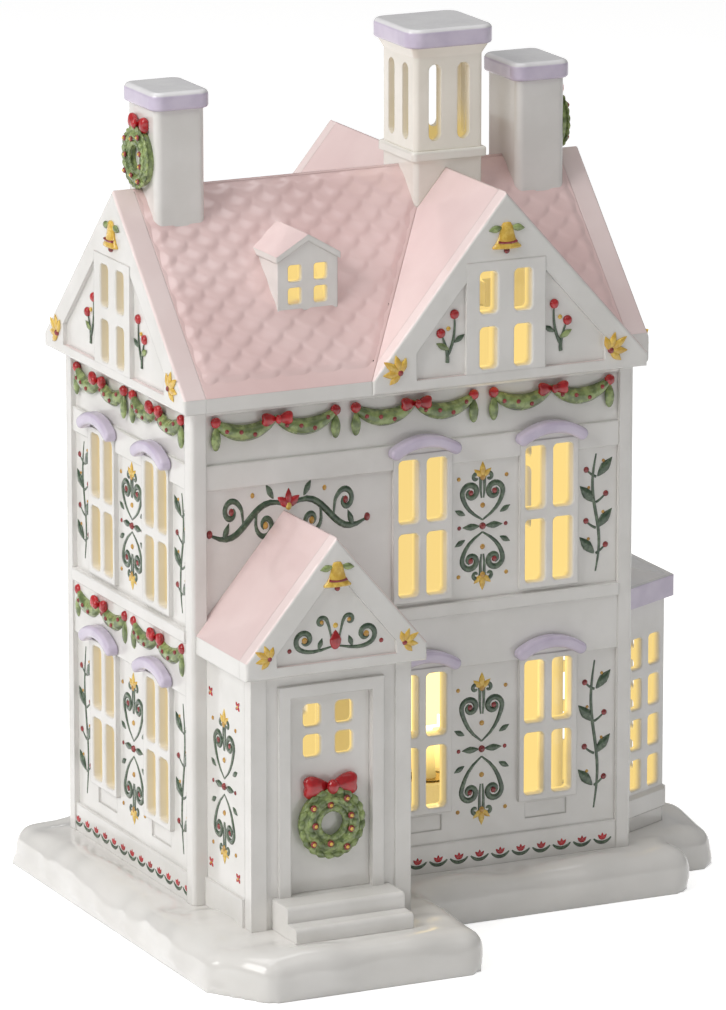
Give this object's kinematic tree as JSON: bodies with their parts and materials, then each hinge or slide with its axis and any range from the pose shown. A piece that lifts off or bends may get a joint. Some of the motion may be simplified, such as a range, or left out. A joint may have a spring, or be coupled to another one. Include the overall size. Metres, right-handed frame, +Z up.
{
  "type": "lit ceramic christmas village house",
  "caption": "Tabletop porcelain village house with crossed gable roofs, porch, bay, cupola and chimneys, lit from inside by a clip-in lamp in its base.",
  "frame": {"origin": "on the table under the middle of the base's outline", "axes": "+Z up, +X along the front to the right as seen from the front, +Y towards the back"},
  "size_m": [0.1768, 0.1678, 0.2392],
  "materials": {
    "white_porcelain": "opaque white porcelain under a clear gloss glaze",
    "pink_glaze": "opaque porcelain, pale pink gloss glaze",
    "lavender_glaze": "opaque porcelain, lavender gloss glaze",
    "green_glaze": "opaque porcelain, hand-painted green",
    "red_glaze": "opaque porcelain, hand-painted red",
    "holder_plastic": "moulded white plastic",
    "spring_steel": "bent spring steel strip",
    "brass": "rolled brass",
    "clear_glass": "clear blown glass"
  },
  "bodies": {
    "house": {"back_wall": "white_porcelain", "bay_back_side": "white_porcelain", "bay_face": "white_porcelain", "bay_front_side": "white_porcelain", "bay_roof": "lavender_glaze", "chimney_bows": "red_glaze", "chimney_wreaths": "green_glaze", "corner_posts": "white_porcelain", "cross_roof_front_left": "pink_glaze", "cross_roof_front_right": "pink_glaze", "cross_roof_rear_left": "pink_glaze", "cross_roof_rear_right": "pink_glaze", "cupola_arcade": "white_porcelain", "cupola_cap": "lavender_glaze", "cupola_pedestal": "white_porcelain", "door_bow": "red_glaze", "door_wreath": "green_glaze", "dormer_roof": "pink_glaze", "dormer_walls": "white_porcelain", "front_gable": "white_porcelain", "front_wall": "white_porcelain", "front_window_hoods": "lavender_glaze", "garland_bows": "red_glaze", "garlands": "green_glaze", "left_chimney": "white_porcelain", "left_chimney_cap": "lavender_glaze", "left_gable": "white_porcelain", "left_wall": "white_porcelain", "left_window_hoods": "lavender_glaze", "main_roof_back_left": "pink_glaze", "main_roof_back_right": "pink_glaze", "main_roof_front_left": "pink_glaze", "main_roof_front_right": "pink_glaze", "porch_door": "white_porcelain", "porch_front": "white_porcelain", "porch_gable": "white_porcelain", "porch_left_wall": "white_porcelain", "porch_right_wall": "white_porcelain", "porch_roof_left": "pink_glaze", "porch_roof_right": "pink_glaze", "porch_steps": "white_porcelain", "rear_gable": "white_porcelain", "rear_window_hoods": "lavender_glaze", "right_chimney": "white_porcelain", "right_chimney_cap": "lavender_glaze", "right_gable": "white_porcelain", "right_wall": "white_porcelain", "right_window_hoods": "lavender_glaze", "snow_base": "white_porcelain", "wing_back_wall": "white_porcelain", "wing_left_wall": "white_porcelain", "wing_right_wall": "white_porcelain"},
    "lamp": {"lamp_holder": "holder_plastic", "lamp_clips": "spring_steel", "socket_shell": "brass"},
    "bulb": {"bulb_cap": "brass", "bulb_contact": "brass", "bulb_glass": "clear_glass", "bulb_stem": "clear_glass"}
  },
  "joints": [
    {"name": "lamp_pull", "type": "slide", "parent": "house", "child": "lamp", "axis": [0, 0, -1], "range_m": [0, 0.066]},
    {"name": "bulb_turn", "type": "hinge", "parent": "lamp", "child": "bulb", "pos_m": [0.01525, 0.01135, 0.02], "axis": [0, 0, 1], "range_deg": [0, 1260]}
  ]
}
